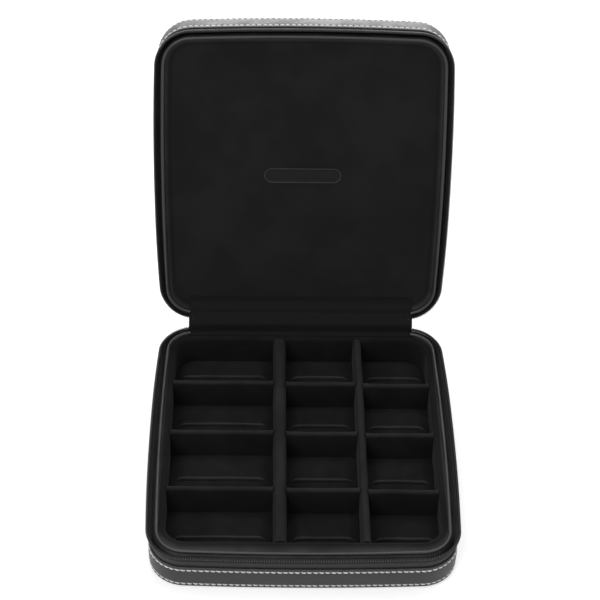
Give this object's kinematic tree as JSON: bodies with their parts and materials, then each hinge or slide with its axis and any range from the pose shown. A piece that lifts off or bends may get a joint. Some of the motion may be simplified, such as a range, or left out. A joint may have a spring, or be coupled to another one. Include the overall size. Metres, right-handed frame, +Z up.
{
  "type": "miniature carry case",
  "caption": "Shallow zip-around carry case, open, with velour-lined pockets, slit cushions, a padded lid with a blank plaque and a soft cloth-and-leather hinge.",
  "frame": {"origin": "middle of the base's underside, on the surface the case rests on", "axes": "+Z up, +Y towards the hinge side, -Y towards the opening side, +X to the right seen from the opening side"},
  "size_m": [0.1702, 0.2504, 0.2045],
  "materials": {
    "leather": "fine pebbled grain, semi-matt",
    "board": "raw board",
    "zip_tape": "woven",
    "zip_coil": "semi-matt",
    "piping": "smooth, semi-gloss",
    "velour": "short pile",
    "cushion_velour": "short pile, crowned",
    "padding": "soft foam",
    "lid_velour": "short pile",
    "lining": "smooth lining cloth",
    "plaque": "smooth, satin",
    "zip_metal": "black, satin"
  },
  "bodies": {
    "base": {"base_board": "board", "base_cover": "leather", "base_frame": "board", "base_piping": "piping", "base_wall": "leather", "base_zip_coil": "zip_coil", "base_zip_tape": "zip_tape", "cross_left_1": "velour", "cross_left_2": "velour", "cross_left_3": "velour", "cross_middle_1": "velour", "cross_middle_2": "velour", "cross_middle_3": "velour", "cross_right_1": "velour", "cross_right_2": "velour", "cross_right_3": "velour", "cushion_left_1": "cushion_velour", "cushion_left_2": "cushion_velour", "cushion_left_3": "cushion_velour", "cushion_left_4": "cushion_velour", "cushion_middle_1": "cushion_velour", "cushion_middle_2": "cushion_velour", "cushion_middle_3": "cushion_velour", "cushion_middle_4": "cushion_velour", "cushion_right_1": "cushion_velour", "cushion_right_2": "cushion_velour", "cushion_right_3": "cushion_velour", "cushion_right_4": "cushion_velour", "divider_left": "velour", "divider_right": "velour", "hinge_lining": "lining", "hinge_spine": "leather", "tray_floor": "velour", "tray_rim": "velour", "zip_end_coils": "zip_coil", "zip_end_tapes": "zip_tape", "zip_stops": "zip_metal"},
    "lid": {"lid_board": "board", "lid_cover": "leather", "lid_frame": "board", "lid_padding": "padding", "lid_panel": "lid_velour", "lid_piping": "piping", "lid_plaque": "plaque", "lid_rim": "lid_velour", "lid_wall": "leather", "lid_zip_coil": "zip_coil", "lid_zip_tape": "zip_tape"},
    "slider": {"zip_slider": "zip_metal"},
    "pull": {"zip_pull": "zip_metal"}
  },
  "joints": [
    {"name": "lid_hinge", "type": "hinge", "parent": "base", "child": "lid", "pos_m": [0, 0.0925, 0.0265], "axis": [1, 0, 0], "range_deg": [0, 104.4], "deforming": ["hinge_spine", "hinge_lining", "zip_end_tapes"]},
    {"name": "slider_run", "type": "slide", "parent": "base", "child": "slider", "axis": [-1, 0, 0], "range_m": [0, 0.01]},
    {"name": "pull_swing", "type": "hinge", "parent": "slider", "child": "pull", "pos_m": [-0.0473, 0.0945, 0.0245], "axis": [1, 0, 0], "range_deg": [0, 60]}
  ]
}
